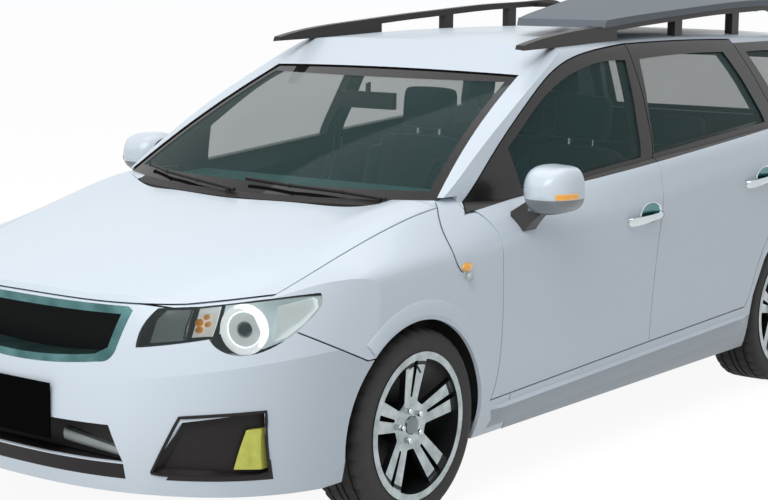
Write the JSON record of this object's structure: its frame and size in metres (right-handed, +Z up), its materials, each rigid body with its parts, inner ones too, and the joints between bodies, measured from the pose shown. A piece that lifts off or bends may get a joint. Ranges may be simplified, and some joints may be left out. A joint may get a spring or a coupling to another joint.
{
  "type": "station wagon",
  "caption": "Pale blue-white station wagon with opening doors, bonnet and tailgate, steered front wheels, roof rails and a flat panel on them.",
  "frame": {"origin": "centre of the bounding box at ground level, where the tyres stand", "axes": "-Y is the direction the car drives in, +X is the car's left side, +Z is up"},
  "size_m": [2.0328, 4.4675, 1.6029],
  "materials": {
    "paint": "pale blue-white gloss",
    "black_trim": "satin black",
    "glass": "grey-green tint",
    "lamp": "clear over silver",
    "tail_lamp": "red",
    "tyre": "matt",
    "rim": "polished",
    "grille": "dark chrome-like",
    "mirror_shell": "gloss",
    "plate": "blank black",
    "floor": "primer grey",
    "seat": "dark grey cloth",
    "dashboard": "grained",
    "engine": "raw",
    "steel": "dull",
    "panel": "grey"
  },
  "bodies": {
    "car_body": {"underbody": "floor", "body_side_left": "paint", "body_side_right": "paint", "roof": "paint", "cowl": "black_trim", "front_fenders": "paint", "front_bumper": "paint", "grille": "grille", "lower_grille": "black_trim", "front_lamps": "lamp", "rear_bumper": "paint", "tail_lamps": "tail_lamp", "fixed_windows": "glass", "arch_liners": "black_trim", "roof_rails": "black_trim", "roof_panel": "panel", "dashboard": "dashboard", "steering_wheel": "dashboard", "front_seats": "seat", "seat_frames": "steel", "rear_seat": "seat", "cabin_mirror": "black_trim", "engine_block": "engine", "front_suspension": "steel", "rear_axle": "steel", "exhaust_and_tank": "steel", "front_plate": "plate"},
    "front_door_left": {"front_door_left": "paint", "front_door_glass_left": "glass", "door_mirror_left": "mirror_shell"},
    "rear_door_left": {"rear_door_left": "paint", "rear_door_glass_left": "glass"},
    "knuckle_left": {"knuckle_left": "steel"},
    "front_wheel_left": {"front_tyre_left": "tyre", "front_rim_left": "rim"},
    "rear_wheel_left": {"rear_tyre_left": "tyre", "rear_rim_left": "rim"},
    "front_door_right": {"front_door_right": "paint", "front_door_glass_right": "glass", "door_mirror_right": "mirror_shell"},
    "rear_door_right": {"rear_door_right": "paint", "rear_door_glass_right": "glass"},
    "knuckle_right": {"knuckle_right": "steel"},
    "front_wheel_right": {"front_tyre_right": "tyre", "front_rim_right": "rim"},
    "rear_wheel_right": {"rear_tyre_right": "tyre", "rear_rim_right": "rim"},
    "bonnet": {"bonnet": "paint"},
    "tailgate": {"tailgate": "paint", "tailgate_glass": "glass", "rear_plate": "plate"}
  },
  "joints": [
    {"name": "front_door_left_hinge", "type": "hinge", "parent": "car_body", "child": "front_door_left", "pos_m": [0.848, -0.917, 0.62], "axis": [0, 0, -1], "range_deg": [0, 65]},
    {"name": "rear_door_left_hinge", "type": "hinge", "parent": "car_body", "child": "rear_door_left", "pos_m": [0.848, 0.1335, 0.64], "axis": [0, 0, -1], "range_deg": [0, 65]},
    {"name": "steer_left", "type": "hinge", "parent": "car_body", "child": "knuckle_left", "pos_m": [0.66, -1.307, 0.18], "axis": [-0.2052, 0, 0.9787], "range_deg": [-33, 33]},
    {"name": "front_wheel_left_spin", "type": "hinge", "parent": "knuckle_left", "child": "front_wheel_left", "pos_m": [0.7275, -1.307, 0.308], "axis": [1, 0, 0], "continuous": true},
    {"name": "rear_wheel_left_spin", "type": "hinge", "parent": "car_body", "child": "rear_wheel_left", "pos_m": [0.7275, 1.313, 0.308], "axis": [1, 0, 0], "continuous": true},
    {"name": "front_door_right_hinge", "type": "hinge", "parent": "car_body", "child": "front_door_right", "pos_m": [-0.848, -0.917, 0.62], "axis": [0, 0, 1], "range_deg": [0, 65]},
    {"name": "rear_door_right_hinge", "type": "hinge", "parent": "car_body", "child": "rear_door_right", "pos_m": [-0.848, 0.1335, 0.64], "axis": [0, 0, 1], "range_deg": [0, 65]},
    {"name": "steer_right", "type": "hinge", "parent": "car_body", "child": "knuckle_right", "pos_m": [-0.66, -1.307, 0.18], "axis": [0.2052, 0, 0.9787], "range_deg": [-33, 33]},
    {"name": "front_wheel_right_spin", "type": "hinge", "parent": "knuckle_right", "child": "front_wheel_right", "pos_m": [-0.7275, -1.307, 0.308], "axis": [1, 0, 0], "continuous": true},
    {"name": "rear_wheel_right_spin", "type": "hinge", "parent": "car_body", "child": "rear_wheel_right", "pos_m": [-0.7275, 1.313, 0.308], "axis": [1, 0, 0], "continuous": true},
    {"name": "bonnet_hinge", "type": "hinge", "parent": "car_body", "child": "bonnet", "pos_m": [0, -1.058, 0.965], "axis": [-1, 0, 0], "range_deg": [0, 50]},
    {"name": "tailgate_hinge", "type": "hinge", "parent": "car_body", "child": "tailgate", "pos_m": [0, 1.851, 1.46], "axis": [1, 0, 0], "range_deg": [0, 80]}
  ],
  "couplings": [
    {"joint": "steer_right", "follows": "steer_left", "ratio": 1}
  ]
}
